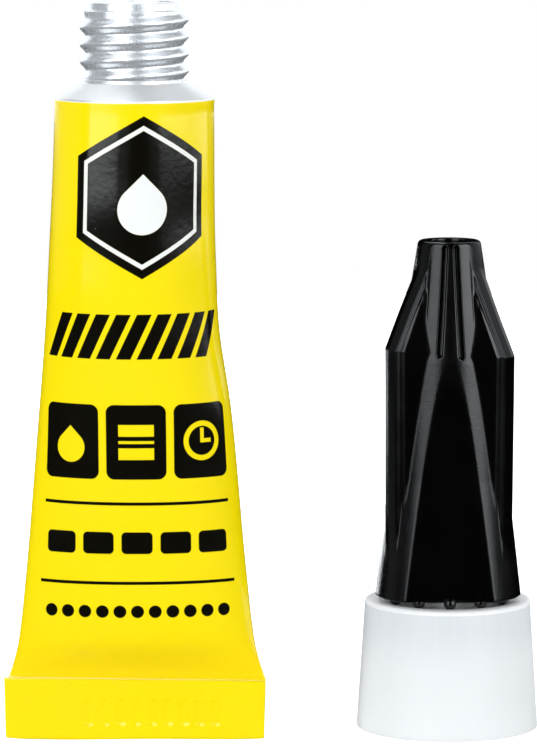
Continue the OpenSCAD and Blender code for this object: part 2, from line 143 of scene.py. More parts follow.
# %% Panels for reflections only
# The shoulder shows the ceiling, and the neck two more panels and the side walls. The flanks of its thread
# show panels above and below. The edges of tube and nozzle show the wall behind. The cap has panels of its
# own beside it, and its flared foot shows a bright patch low behind it on the left.
FACE_DOWN, FACE_UP = (0, 0, 0), (math.pi, 0, 0)
CEILING_LENGTH, CEILING_Y, CEILING_Z = 0.6, 0.35, 0.5
ceiling = []
for name, x, width, brightness in [
    ("ceiling_left", -0.207, 0.23, 0.8), ("ceiling_middle", -0.055, 0.07, 2.6),
    ("ceiling_gap", 0.018, 0.075, 0.1), ("ceiling_right", 0.175, 0.24, 0.55),
]:
    ceiling.append(panel(name, width, CEILING_LENGTH, brightness, (x, CEILING_Y, CEILING_Z), FACE_DOWN))
tube_panels = [
    softbox("neck_left", azimuth=-15, spread=15, foot_z=0.028, height=0.6, brightness=2.4),
    softbox("neck_right", azimuth=40, spread=34, foot_z=0.028, height=0.6, brightness=2.0),
    softbox("left_wall", azimuth=-105, spread=50, foot_z=0.005, height=0.5, brightness=0.15),
    softbox("right_wall", azimuth=105, spread=50, foot_z=0.005, height=0.5, brightness=1.2),
    panel("over_left", 0.19, 0.5, 1.3, (-0.175, -0.2, CEILING_Z), FACE_DOWN),
    panel("over_right", 0.2, 0.5, 1.1, (0.165, -0.2, CEILING_Z), FACE_DOWN),
    panel("under_left", 0.18, 0.2, 1.2, (-0.15, 0.11, -0.3), FACE_UP),
    panel("under_right", 0.18, 0.2, 1.1, (0.14, 0.11, -0.3), FACE_UP),
    softbox("wall_behind", azimuth=180, spread=100, foot_z=0.01, height=0.5, brightness=1.0, distance=0.7),
]
cap_panels = [
    softbox("cap_right", azimuth=57.5, spread=45, foot_z=0.005, height=0.6, brightness=3.4),
    softbox("cap_far_right", azimuth=123, spread=64, foot_z=0.03, height=0.5, brightness=0.45),
    softbox("cap_left", azimuth=-100, spread=36, foot_z=-0.12, height=0.72, brightness=0.15),
    softbox("patch_behind", azimuth=-155, spread=18, foot_z=-0.05, height=0.05, brightness=7.0),
]
for lamp in ceiling + tube_panels + cap_panels:
    lamp.visible_diffuse = False

# %% Floor
FLOOR_HALF = 0.36
FLOOR_GLOW = 0.27

floor_mesh = bpy.data.meshes.new("studio_floor")
floor_mesh.from_pydata(
    [(-FLOOR_HALF, -FLOOR_HALF, 0), (FLOOR_HALF, -FLOOR_HALF, 0),
     (FLOOR_HALF, FLOOR_HALF, 0), (-FLOOR_HALF, FLOOR_HALF, 0)],
    [], [(0, 1, 2, 3)],
)
floor = bpy.data.objects.new("studio_floor", floor_mesh)
floor.visible_glossy = False
bpy.context.scene.collection.objects.link(floor)
paper = bpy.data.materials.new("white_paper")
paper.use_nodes = True
paper_shader = paper.node_tree.nodes["Principled BSDF"]
paper_shader.inputs["Base Color"].default_value = (0.95, 0.95, 0.95, 1)
paper_shader.inputs["Roughness"].default_value = 0.9
paper_shader.inputs["Emission Color"].default_value = (1, 1, 1, 1)
paper_glow = white_to_camera(paper.node_tree, FLOOR_GLOW)
paper.node_tree.links.new(paper_glow, paper_shader.inputs["Emission Strength"])
floor_mesh.materials.append(paper)
print("floor is", 2 * FLOOR_HALF, "m wide")

# %% [markdown]
# ## A skin from rows of points
# The tube and the cap are both closed skins: one row of points after another, each row a ring. A
# subdivision surface would also do, but rows that are computed keep thread, creases and small radii
# exactly where they belong. The helper joins the rings with quads and closes the two ends.


# %% Helpers for skins
def skin(name, rows, middle, row_uvs=None):
    """A closed mesh over rows of rings, in millimetres round a point, and a map in millimetres."""
    rows = np.asarray(rows)
    row_count, sides = rows.shape[:2]
    mesh = bpy.data.meshes.new(name)
    index = np.arange(row_count * sides).reshape(row_count, sides)
    after = np.roll(index, -1, axis=1)
    quads = np.stack([index[:-1], after[:-1], after[1:], index[1:]], axis=-1).reshape(-1, 4)
    faces = quads.tolist() + [index[0, ::-1].tolist(), index[-1].tolist()]
    mesh.from_pydata(((rows.reshape(-1, 3) + middle) * MM).tolist(), [], faces)
    smooth = np.ones(len(faces), bool)
    smooth[-2:] = False
    mesh.polygons.foreach_set("use_smooth", smooth)
    if row_uvs is not None:
        corners = np.stack(
            [row_uvs[:-1, :-1], row_uvs[:-1, 1:], row_uvs[1:, 1:], row_uvs[1:, :-1]], axis=2
        ).reshape(-1, 2)
        ends = np.concatenate([row_uvs[0, :-1][::-1], row_uvs[-1, :-1]])
        mesh.uv_layers.new(name="print_mm").data.foreach_set("uv", np.concatenate([corners, ends]).ravel())
    piece = bpy.data.objects.new(name, mesh)
    bpy.context.scene.collection.objects.link(piece)
    print(name, "has", len(faces), "faces")
    return piece


def ease(share):
    """A soft step from 0 to 1."""
    share = np.clip(share, 0, 1)
    return share * share * (3 - 2 * share)


def mix(a, b, share):
    return a + (b - a) * share


def soft_profile(corners, steps=4):
    """A line of (radius, height) points through corners of (radius, height, softness)."""
    line = []
    for i, (r, z, soft) in enumerate(corners):
        here = np.array([r, z])
        if not soft:
            line.append(here)
            continue
        before = np.array(corners[i - 1][:2]) - here
        after = np.array(corners[i + 1][:2]) - here
        start = here + before / np.linalg.norm(before) * soft
        end = here + after / np.linalg.norm(after) * soft
        for t in np.linspace(0, 1, steps + 1):
            line.append((1 - t) ** 2 * start + 2 * t * (1 - t) * here + t * t * end)
    return line


def smooth_curve(x, xs, ys):
    """A smooth curve through the given points."""
    slopes = np.gradient(ys, xs)
    i = np.clip(np.searchsorted(xs, x) - 1, 0, len(xs) - 2)
    gap = xs[i + 1] - xs[i]
    t = (x - xs[i]) / gap
    rising = t * t * (3 - 2 * t)
    bends = gap * t * (1 - t) * ((1 - t) * slopes[i] - t * slopes[i + 1])
    return mix(ys[i], ys[i + 1], rising) + bends


THREAD_LEAD, THREAD_FADE = 0.12, 0.5


def thread(theta, z, base_z, pitch, foot, crest, first, last):
    """Height of a right-hand thread ridge from 0 to 1, with half widths at its foot and its crest.

    The turns count from the ridge's height at angle zero. Both ends fade out over part of a turn.
    """
    share = theta / (2 * math.pi) % 1
    turns = np.round((z - base_z) / pitch - share) + share
    away = np.abs(z - base_z - pitch * turns)
    side = ease((foot - away) / (foot - crest))
    return side * ease((np.minimum(turns - first, last - turns) + THREAD_LEAD) / THREAD_FADE)


# %% [markdown]
# ## The tube
# A glue tube is punched from one slug of aluminium: threaded neck, shoulder and wall in one piece. It is
# filled from the open end, which is then pressed flat and folded over once. A ring that keeps its girth
# while it flattens gives the true shape of the wall between the round shoulder and the flat tail. The
# fold is the same ring, led down, round a tight bend and up again in front.

# %% Ring of the tube
low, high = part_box("pierce_membrane")
tube_axis = np.array([(low.x + high.x) / 2, (low.y + high.y) / 2, 0]) / MM
COLUMNS = 288
around = np.radians(90 + 360 * np.arange(COLUMNS) / COLUMNS)
across, along = np.cos(around), np.sin(around)


def flat_ring(half_width, half_depth, squareness):
    """A ring between an ellipse, at squareness 2, and a pressed strip. It starts at the tube's back."""
    depth = np.clip(1 - np.abs(across) ** squareness, 0, 1) ** (1 / squareness)
    return half_width * across, half_depth * np.sign(along) * depth


TUBE_R = 6.75
SHOULDER_Z = 55.2
TAIL_HALF = 11.35
FOLD_H = 5.4
PLY_HALF = 0.225
PLY_STEP = 0.51
WALL_TOP = SHOULDER_Z - 0.5
level_shares = np.array([0, 0.015, 0.035, 0.065, 0.11, 0.17, 0.25, 0.35, 0.45, 0.55, 0.65, 0.75, 0.85, 1])
width_shares = np.array(
    [0.976, 0.913, 0.841, 0.757, 0.683, 0.613, 0.528, 0.438, 0.343, 0.237, 0.137, 0.072, 0.033, 0]
)
level_z = mix(FOLD_H - 0.5, WALL_TOP, level_shares)


def wall_size(z):
    """Half width and half depth of the wall at a height, with the girth kept."""
    share = smooth_curve(z, level_z, width_shares)
    half_width = mix(TUBE_R, TAIL_HALF, share)
    girth = mix(2 * math.pi * TUBE_R, 4 * TAIL_HALF, share)
    shallow, deep = np.zeros_like(z), np.full_like(z, TAIL_HALF)
    for _ in range(40):
        depth = (shallow + deep) / 2
        a, b = half_width, depth
        length = math.pi * (3 * (a + b) - np.sqrt((3 * a + b) * (a + 3 * b)))
        shallow = np.where(length < girth, depth, shallow)
        deep = np.where(length < girth, deep, depth)
    return half_width, mix(PLY_HALF, depth, ease((z - FOLD_H + 0.5) / 4.5))


print("half width and depth at mid height:", wall_size(np.array([30.0])))

# %% Soft wall rows
# The filled tube has been handled: it leans a little to the left in its upper half, and the right
# side has a shallow dent.
LEAN, LEAN_Z, LEAN_SPAN = -0.24, 41, 9
DENT, DENT_Z, DENT_SPAN = 0.22, 35, 4
OUTER_INSET, INNER_INSET = 0.02, 0.18
wall_z = FOLD_H + (WALL_TOP - FOLD_H) * np.linspace(0, 1, 84)[1:] ** 1.35
wall_a, wall_b = wall_size(wall_z)


def wall_rows(inset):
    """Rings of the wall, set in from its true size."""
    rows = []
    for z, a, b in zip(wall_z, wall_a, wall_b):
        x, y = flat_ring(a - inset, b - inset, mix(3, 2, ease((z - FOLD_H) / 3)))
        lean = LEAN * math.exp(-(((z - LEAN_Z) / LEAN_SPAN) ** 2))
        dent = DENT * math.exp(-(((z - DENT_Z) / DENT_SPAN) ** 2)) * np.clip(across, 0, 1) ** 6
        ripple = 0.03 * np.sin(z * 0.55 + 3 * around) + 0.02 * np.sin(z * 0.9 - 2 * around)
        fade = ease((SHOULDER_Z - 3 - z) / 10) * ease((z - FOLD_H) / 6)
        y = y + ripple * fade * np.sign(along)
        rows.append(np.stack([x + lean - dent, y, np.full(COLUMNS, z)], 1))
    return rows


print(len(wall_z), "rows of soft wall")

# %% Fold rows
# Each entry of the line holds y and z of the strip's middle, the direction across it, and its swelling.
STRIP_HALF, STRIP_SHIFT = 11.15, -0.2
WALL_FOOT_HALF = 11.07
CORNER_R = 0.3
fold_line = []
for z, swell in [(FOLD_H, 0.3), (FOLD_H - 0.03, 0.7), (FOLD_H - 0.09, 1)]:
    fold_line.append((-PLY_STEP, z, -1, 0, swell))
bend_z = PLY_STEP / 2 + PLY_HALF
for z in np.linspace(FOLD_H - 0.19, bend_z, 46, endpoint=False):
    fold_line.append((-PLY_STEP, z, -1, 0, 1))
for turn in np.linspace(0, math.pi, 13):
    y = -PLY_STEP / 2 * (1 + math.cos(turn))
    fold_line.append((y, bend_z - PLY_STEP / 2 * math.sin(turn), -math.cos(turn), -math.sin(turn), 1))
for z in np.linspace(bend_z, FOLD_H, 14)[1:]:
    fold_line.append((0, z, 1, 0, 1))
print(len(fold_line), "points down and up the fold")

# %% Marks in the fold
MARK_PITCH, MARKS_EACH_SIDE = 1.36, 4
MARK_X, MARK_Z = 1.5, 2.45
MARK_HALF, MARK_R, MARK_EDGE, MARK_DEPTH = 0.8, 0.42, 0.18, 0.14


def stamped_marks(x, z):
    """Upright pill-shaped marks that are pressed into the strip, from 0 to 1."""
    step = np.clip(np.round((x - MARK_X) / MARK_PITCH), -MARKS_EACH_SIDE, MARKS_EACH_SIDE)
    nearest = MARK_PITCH * step + MARK_X
    beyond = np.maximum(np.abs(z - MARK_Z) - MARK_HALF, 0)
    return ease((MARK_R - np.hypot(x - nearest, beyond)) / MARK_EDGE)


fold_rows = []
for y, z, ny, nz, swell in fold_line:
    lowness = 1 - z / FOLD_H
    corner = CORNER_R - math.sqrt(max(CORNER_R ** 2 - max(CORNER_R - z, 0) ** 2, 0))
    on_wall = ease(z / FOLD_H) if y > -0.02 else 0
    half_width = mix(STRIP_HALF, WALL_FOOT_HALF, on_wall) - corner - 0.05 * (1 - swell)
    x, depth = flat_ring(half_width, PLY_HALF * swell, 8)
    depth = depth - MARK_DEPTH * stamped_marks(x, z) * (along > 0) * (y < -PLY_STEP / 2)
    x = x + STRIP_SHIFT * (1 - on_wall) + 0.1 * lowness * np.clip(-across, 0, 1)
    lift = 0.1 * across ** 2 * lowness + 0.05 * np.sin(4 * across + 1) * lowness
    tilt = -0.14 * across * z / FOLD_H * (y < -0.02)
    ring_z = z + nz * depth + lift + 0.05 * lowness + tilt
    fold_rows.append(np.stack([x, y + ny * depth, ring_z], 1))
print(len(fold_rows), "rows of folded tail")

# %% Neck rows
ROOT_R, CREST_R, PILOT_R, COLLAR_R = 4.135, 4.6, 3.85, 4.37
LEDGE_R, NECK_BORE_R, INNER_R = 3.45, 3.2, TUBE_R - 0.2
MOUTH_Z, LEDGE_Z = 63.2, 62.95
neck_line = soft_profile([
    (TUBE_R, SHOULDER_Z - 0.3, 0), (TUBE_R, SHOULDER_Z, 0.12), (COLLAR_R, 56.5, 0.1),
    (COLLAR_R, 56.75, 0.06), (ROOT_R, 56.78, 0.04), (ROOT_R, 56.85, 0),
])
neck_line += [np.array([ROOT_R, z]) for z in np.arange(56.9, 62.4, 0.06)]
neck_line += soft_profile([
    (ROOT_R, 62.42, 0), (ROOT_R, 62.5, 0.05), (PILOT_R, 62.55, 0.08), (PILOT_R, MOUTH_Z, 0.12),
    (LEDGE_R, MOUTH_Z, 0.06), (LEDGE_R, LEDGE_Z, 0.04), (NECK_BORE_R, LEDGE_Z, 0.03),
    (NECK_BORE_R, 56.0, 0.2), (INNER_R, 54.8, 0.1), (INNER_R, 54.6, 0),
])
neck_rows = []
for r, z in neck_line:
    ridge = 0
    if abs(r - ROOT_R) < 0.01:
        ridge = thread(around, z, base_z=57.47, pitch=1.44, foot=0.7, crest=0.04, first=-0.55, last=3.55)
    ring_r = r + (CREST_R - ROOT_R) * ridge * np.ones(COLUMNS)
    neck_rows.append(np.stack([ring_r * across, ring_r * along, np.full(COLUMNS, z)], 1))
print(len(neck_rows), "rows of neck")

# %% Join the tube
# The hollow ends where the wall is nearly flat. The map counts round the wall from its front's middle.
HOLLOW_END = 0.6
inner_rows = [row for row, b in zip(wall_rows(INNER_INSET), wall_b) if b > HOLLOW_END][::-1]
tube_rows = np.array(fold_rows + wall_rows(OUTER_INSET) + neck_rows + inner_rows)
steps = np.linalg.norm(np.diff(np.concatenate([tube_rows, tube_rows[:, :1]], 1), axis=1), axis=2)
girth_at = np.concatenate([np.zeros((len(tube_rows), 1)), np.cumsum(steps, 1)], 1)
girth_at -= girth_at[:, COLUMNS // 2: COLUMNS // 2 + 1]
heights = np.array([-z - 0.4 if y < -PLY_STEP / 2 else z for y, z, *_ in fold_line])
height_at = np.concatenate([heights, tube_rows[len(fold_rows):, 0, 2]])
tube_uvs = np.stack([girth_at, np.repeat(height_at[:, None], COLUMNS + 1, 1)], 2)
tube = skin("glue_tube", tube_rows, tube_axis, tube_uvs)

# %% Printed and bare faces
# Two rows above the wall are still printed, and so is the face that closes the strip's free edge.
printed_rows = len(fold_rows) + len(wall_z) + 2
bare = np.zeros(len(tube.data.polygons), np.int32)
bare[printed_rows * COLUMNS:] = 1
bare[-2] = 0
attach(tube, "tube")
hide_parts("tube_shell")
tube.visible_glossy = False
tube.visible_diffuse = False
print(int(bare.sum()), "faces of the tube are bare metal")

# %% [markdown]
# ## The cap
# The cap is moulded in black plastic round a core that is a cone in three slopes. Three flat panels cut
# the core, three sunk faces and three roofed ribs stand on it, and above each panel two slots lighten the
# tip. Booleans would leave sharp creases where a mould has small radii. Here the outside is one rule that
# says how far a point is from the moulding, with every meeting of two faces rounded, and each ray from the
# axis is cut where the rule gives zero. The columns of points crowd at the rib sides and the slots.

# %% Rule of the cap's outside
low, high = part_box("clearing_needle")
closure_axis = np.array([(low.x + high.x) / 2, (low.y + high.y) / 2, 0]) / MM
RIM_Z, TIP_Z, BEND_Z, SLOT_Z = 11.6, 42.5, 33.0, 32.2
WAIST_Z = 22.0
TIP_R, TIP_EDGE = 2.75, 0.4
RIB_HALF = 0.95
RIB_ANGLE = math.pi / 3
ROOF = math.radians(12)


def soft_max(a, b, k):
    return np.maximum(a, b) + np.maximum(k - np.abs(a - b), 0) ** 2 / (4 * k)


def soft_min(a, b, k):
    return -soft_max(-a, -b, k)


def core_r(z):
    return np.interp(z, [RIM_Z, WAIST_Z, SLOT_Z, TIP_Z - TIP_EDGE], [6.4, 5.15, 4.27, TIP_R])


def rib_reach(z):
    return np.interp(z, [12.1, BEND_Z, 41.2, 42], [5.85, 6.0, 2.44, 2.0])


def outside(r, side, z):
    """Distance of points from the moulding. The angle counts from a panel's middle, 0 to 60 degrees."""
    ahead = r * np.cos(side)
    flat_panel = np.interp(z, [RIM_Z, WAIST_Z, SLOT_Z, SLOT_Z + 1], [5.1, 4.5, 4.28, 6])
    beside_rib = ease((np.degrees(side) - 33) / 4) * ease((z - 33) / 2) * ease((41.6 - z) / 6)
    core = soft_max(r - core_r(z) + 0.3 * beside_rib, ahead - flat_panel, 0.05)
    face = np.interp(z, [RIM_Z, BEND_Z, 40.6, 42], [3.78, 3.78, 1.85, 1.45])
    grip = soft_max(r - rib_reach(z) + 0.45, ahead - face, 0.15)
    up = r * np.cos(RIB_ANGLE - side)
    aside = r * np.abs(np.sin(RIB_ANGLE - side))
    rib = soft_max(up * math.cos(ROOF) + aside * math.sin(ROOF) - rib_reach(z), aside - RIB_HALF, 0.13)
    return soft_min(soft_min(core, grip, 0.05), rib, 0.15)


def slot_at(z):
    """Angle of the slots, which run together a little towards the tip."""
    return np.radians(np.interp(z, [SLOT_Z, TIP_Z], [13.4, 9.8]))


def slot_depth(side, z):
    """Depth of the slots in millimetres."""
    beyond = np.maximum(SLOT_Z + 0.7 - z, 0) + np.maximum(z - TIP_Z + 0.58, 0)
    away = np.hypot((side - slot_at(z)) * core_r(z), beyond)
    return 0.5 * ease((0.29 - away) / 0.13)


print("core radius at mid height:", core_r(27.0))

# %% Rows of the cap's outside
RIM_EDGE, RIM_ROWS = 0.12, 5
rim_turn = np.linspace(0, math.pi / 2, RIM_ROWS)
outer_z = np.concatenate([
    RIM_Z + RIM_EDGE * (1 - np.cos(rim_turn)),
    np.arange(RIM_Z + 0.3, 31.4, 0.22), np.arange(31.4, 33.4, 0.08),
    np.arange(33.4, 40.4, 0.16), np.arange(40.4, TIP_Z - TIP_EDGE, 0.08),
])
rim_inset = np.zeros(len(outer_z))
rim_inset[:RIM_ROWS] = RIM_EDGE * (1 - np.sin(rim_turn))
rib_edge = RIB_ANGLE - np.arcsin(RIB_HALF / np.maximum(rib_reach(outer_z), 2.6))
slot_half = 0.3 / core_r(outer_z)
slot = slot_at(outer_z)
stops = [0 * outer_z, slot - slot_half, slot - slot_half / 2, slot + slot_half / 2, slot + slot_half,
         rib_edge - 0.045, rib_edge + 0.02, RIB_ANGLE + 0 * outer_z]
counts = [6, 5, 3, 5, 26, 14, 7]
sides = [mix(a, b, k / n) for a, b, n in zip(stops, stops[1:], counts) for k in range(n)]
sides = np.stack(sides + [stops[-1]], 1)
near, far = np.full_like(sides, 1.0), np.full_like(sides, 8.0)
for _ in range(40):
    middle = (near + far) / 2
    inside = outside(middle, sides, outer_z[:, None]) < 0
    near, far = np.where(inside, middle, near), np.where(inside, far, middle)
reach = near - slot_depth(sides, outer_z[:, None]) - rim_inset[:, None]
third = np.concatenate([sides[:, :-1], 2 * RIB_ANGLE - sides[:, :0:-1]], 1)
angles = np.concatenate([third + 2 * RIB_ANGLE * i for i in range(3)], 1)


def all_round(values):
    """Values over one sixth of the cap, mirrored and repeated for the whole of it."""
    return np.tile(np.concatenate([values[:, :-1], values[:, :0:-1]], 1), 3)


reaches = all_round(reach)
on_core = all_round(ease((0.12 - np.abs(reach - core_r(outer_z)[:, None])) / 0.06))
print("cap outside:", reaches.shape[0], "rows of", reaches.shape[1], "points")

# %% Join the cap
# The rows run from the needle's hole down the inside, over the rim, up the outside and into the recess.
BORE_R, THREAD_TOP, RIDGE_H = 4.2, 17.6, 0.45
HOLE_R, INNER_TOP_R, CONE_R = 0.39, 1.7, 3.6
HOLE_TOP, INNER_TOP = 39.14, 37.5
RIM_BORE_R = 4.6
RECESS_R, RECESS_Z = 1.5, TIP_Z - 2.1


def closure_ring(r, angle, z):
    """A ring round the closure's axis, which is skewed a little in the upper half.

    The angle counts from the front to the right.
    """
    r = r * np.ones_like(angle)
    skew = 0.35 * np.sin(angle) * ease((z - 28) / 4) * ease((41.5 - z) / 6)
    return np.stack([r * np.sin(angle), -r * np.cos(angle), z - skew], 1)


inside_line = soft_profile([
    (HOLE_R, HOLE_TOP, 0), (HOLE_R, INNER_TOP, 0), (INNER_TOP_R, INNER_TOP, 0.1),
    (CONE_R, THREAD_TOP, 0.1), (BORE_R, THREAD_TOP, 0.05), (BORE_R, 17.4, 0),
])
inside_line += [np.array([BORE_R, z]) for z in np.arange(17.3, 12.0, -0.08)]
inside_line += soft_profile([
    (BORE_R, 12, 0), (BORE_R, 11.9, 0.05), (4.5, RIM_Z, 0.05), (RIM_BORE_R, RIM_Z, 0),
])
cap_rows = []
from_right = angles[0] - math.pi / 2
for r, z in inside_line:
    ridge = 0
    if r == BORE_R:
        ridge = thread(from_right, z, base_z=13.2, pitch=1.5, foot=0.375, crest=0.13, first=0, last=2.43)
    cap_rows.append(closure_ring(r - RIDGE_H * ridge, angles[0], z))
for share in (0.35, 0.7):
    cap_rows.append(closure_ring(mix(RIM_BORE_R, reaches[0], share), angles[0], RIM_Z))
first_outer = len(cap_rows)
for r, angle, z in zip(reaches, angles, outer_z):
    cap_rows.append(closure_ring(r, angle, z))
tip_side = np.tile(np.minimum(third[-1], 2 * RIB_ANGLE - third[-1]), 3)
for turn in np.linspace(0, math.pi / 2, 9):
    z = TIP_Z - TIP_EDGE * (1 - math.sin(turn))
    tip_r = TIP_R - TIP_EDGE * (1 - math.cos(turn)) - slot_depth(tip_side, z)
    cap_rows.append(closure_ring(tip_r, angles[-1], z))
for r, z in soft_profile([
    (2.1, TIP_Z, 0), (RECESS_R, TIP_Z, 0.12), (RECESS_R, RECESS_Z, 0.1), (0.2, RECESS_Z, 0),
]):
    cap_rows.append(closure_ring(r, angles[-1], z))
cap = skin("screw_cap", cap_rows, closure_axis)
grained = np.zeros((len(cap_rows), angles.shape[1]))
grained[first_outer: first_outer + len(outer_z)] = on_core
cap.data.attributes.new("core_grain", "FLOAT", "POINT").data.foreach_set("value", grained.ravel())
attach(cap, "cap")
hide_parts("cap")

# %% Nubs under the rim
NUB_R, NUB_RING, NUB_DROP, NUB_COUNT = 0.55, 5.3, 0.6, 12
build = bmesh.new()
build.verts.layers.float.new("core_grain")
for k in range(NUB_COUNT):
    angle = 2 * math.pi * k / NUB_COUNT
    spot = np.array([NUB_RING * math.sin(angle), -NUB_RING * math.cos(angle), RIM_Z - NUB_DROP + NUB_R])
    place = Matrix.Translation(Vector((closure_axis + spot) * MM))
    ball = bmesh.ops.create_uvsphere(build, u_segments=24, v_segments=14, radius=NUB_R * MM, matrix=place)
    for face in {f for corner in ball["verts"] for f in corner.link_faces}:
        face.smooth = True
build.from_mesh(cap.data)
build.to_mesh(cap.data)
build.free()
print("cap with nubs has", len(cap.data.polygons), "faces")

# %% [markdown]
# ## Nodes for the finishes
# A finish is colour, gloss and relief that change over the surface. Each effect that returns on several
# pieces becomes a node group, so that it is built once and each material only sets its values. A few small
# helpers keep the wiring readable.


# %% Helpers for nodes
def wire(tree, socket, source):
    """Links an output to an input, or sets the input to a plain value."""
    if isinstance(source, bpy.types.NodeSocket):
        tree.links.new(source, socket)
    else:
        socket.default_value = source


def add(tree, kind, inputs=None, **settings):
    """A new shader node with its settings and inputs."""
    made = tree.nodes.new("ShaderNode" + kind)
    for name, value in settings.items():
        setattr(made, name, value)
    for name, source in (inputs or {}).items():
        wire(tree, made.inputs[name], source)
    return made


def count(tree, operation, *sources):
    """One sum of a Math node."""
    made = add(tree, "Math", operation=operation)
    for socket, source in zip(made.inputs, sources):
        wire(tree, socket, source)
    return made.outputs[0]


def ramp(tree, value, low, high, to_low=0.0, to_high=1.0, kind="SMOOTHSTEP"):
    """A value carried from one range to another, and held there."""
    made = add(tree, "MapRange", {"Value": value, "From Min": low, "From Max": high,
                                  "To Min": to_low, "To Max": to_high}, interpolation_type=kind)
    return made.outputs["Result"]


def stretch(tree, vector, factors):
    """A vector with each of its parts multiplied."""
    return add(tree, "VectorMath", {0: vector, 1: factors}, operation="MULTIPLY").outputs[0]


def blend_colour(tree, share, a, b):
    """A mix of two colours."""
    made = add(tree, "Mix", data_type="RGBA")
    wire(tree, made.inputs[0], share)
    wire(tree, made.inputs[6], a)
    wire(tree, made.inputs[7], b)
    return made.outputs[2]


def new_group(name, inputs, outputs):
    """An empty node group with number inputs, and one place vector where it is asked for."""
    tree = bpy.data.node_groups.new(name, "ShaderNodeTree")
    for label, value in inputs.items():
        kind = "NodeSocketVector" if value is None else "NodeSocketFloat"
        socket = tree.interface.new_socket(label, in_out="INPUT", socket_type=kind)
        if value is not None:
            socket.default_value = value
    for label in outputs:
        tree.interface.new_socket(label, in_out="OUTPUT", socket_type="NodeSocketFloat")
    return tree, tree.nodes.new("NodeGroupInput").outputs, tree.nodes.new("NodeGroupOutput").inputs


def use_group(tree, group, **inputs):
    """A node group placed in a tree with its inputs. Gives its outputs."""
    made = tree.nodes.new("ShaderNodeGroup")
    made.node_tree = group
    for name, source in inputs.items():
        wire(tree, made.inputs[name.replace("_", " ")], source)
    return made.outputs


def new_finish(name, **inputs):
    """A material with its Principled shader, and the plain values that are set on it."""
    finish = bpy.data.materials.new(name)
    finish.use_nodes = True
    shader = finish.node_tree.nodes["Principled BSDF"]
    for label, value in inputs.items():
        shader.inputs[label.replace("_", " ")].default_value = value
    return finish, finish.node_tree, shader


def relief(tree, shader, height, strength, distance):
    """Feeds a height to the shader's normal."""
    bump = add(tree, "Bump", {"Height": height, "Strength": strength, "Distance": distance})
    tree.links.new(bump.outputs[0], shader.inputs["Normal"])


# %% [markdown]
# ## Effects that several finishes share
# Moulded plastic has the fine grain of its steel mould. Turned and drawn metal shows rings from the tool.
# Anything black and glossy carries a few specks of dust. All three are built from object coordinates, so
# they keep their size in metres on every piece.

# %% Grain of a mould
mould_grain, given, gives = new_group("mould_grain", {"Size": 0.2, "Softness": 0.5}, ["Height", "Blotch"])
here = add(mould_grain, "TexCoord").outputs["Object"]
per_metre = count(mould_grain, "DIVIDE", 1000.0, given["Size"])
fine = add(mould_grain, "TexNoise", {"Vector": here, "Scale": per_metre, "Detail": 3.0,
                                     "Roughness": given["Softness"]})
broad_scale = count(mould_grain, "MULTIPLY", per_metre, 0.06)
broad = add(mould_grain, "TexNoise", {"Vector": here, "Scale": broad_scale, "Detail": 2.0})
wire(mould_grain, gives["Height"], fine.outputs[0])
wire(mould_grain, gives["Blotch"], broad.outputs[0])
print("group", mould_grain.name, "has", len(mould_grain.nodes), "nodes")

# %% Rings from the tool
tool_rings, given, gives = new_group("tool_rings", {"Pitch": 0.1, "Waver": 0.3}, ["Height", "Streak"])
here = add(tool_rings, "TexCoord").outputs["Object"]
stretched = stretch(tool_rings, here, (60.0, 60.0, 1000.0))
scale = count(tool_rings, "DIVIDE", 1.0, given["Pitch"])
rings = add(tool_rings, "TexNoise", {"Vector": stretched, "Scale": scale, "Detail": 3.0, "Roughness": 0.6,
                                     "Distortion": given["Waver"]})
upright = stretch(tool_rings, here, (2600.0, 2600.0, 160.0))
drawn = add(tool_rings, "TexNoise", {"Vector": upright, "Scale": 1.0, "Detail": 2.0})
wire(tool_rings, gives["Height"], rings.outputs[0])
wire(tool_rings, gives["Streak"], drawn.outputs[0])
print("group", tool_rings.name, "has", len(tool_rings.nodes), "nodes")

# %% Specks of dust
dust, given, gives = new_group("dust", {"Spacing": 2.0, "Speck": 0.05, "Share": 0.3}, ["Mask"])
here = add(dust, "TexCoord").outputs["Object"]
cells = add(dust, "TexVoronoi", {"Vector": here, "Scale": count(dust, "DIVIDE", 1000.0, given["Spacing"]),
                                 "Randomness": 1.0})
draw = add(dust, "SeparateColor", {"Color": cells.outputs["Color"]}).outputs
kept = count(dust, "LESS_THAN", draw[0], given["Share"])
size = count(dust, "MULTIPLY", given["Speck"], count(dust, "ADD", draw[1], 0.4))
near_speck = count(dust, "LESS_THAN", cells.outputs["Distance"], size)
wire(dust, gives["Mask"], count(dust, "MULTIPLY", kept, near_speck))
print("group", dust.name, "has", len(dust.nodes), "nodes")

# %% [markdown]
# ## Ink marks
# The print on such a tube is flat ink under a clear varnish. An image could carry it, but a few exact
# shapes stay sharp at any distance. Each mark is a distance rule: a bar with rounded corners, which may be
# turned and repeated in a row, and a disc. The tube's map counts millimetres round the wall and up it.

# %% Bar of ink
INK_EDGE = 0.03


def from_nearest(tree, x, given):
    """Distance along x from the nearest mark of a row."""
    step = count(tree, "ROUND", count(tree, "DIVIDE", x, given["Pitch"]))
    step = count(tree, "MINIMUM", step, given["Repeats"])
    step = count(tree, "MAXIMUM", step, count(tree, "MULTIPLY", given["Repeats"], -1.0))
    return count(tree, "SUBTRACT", x, count(tree, "MULTIPLY", step, given["Pitch"]))


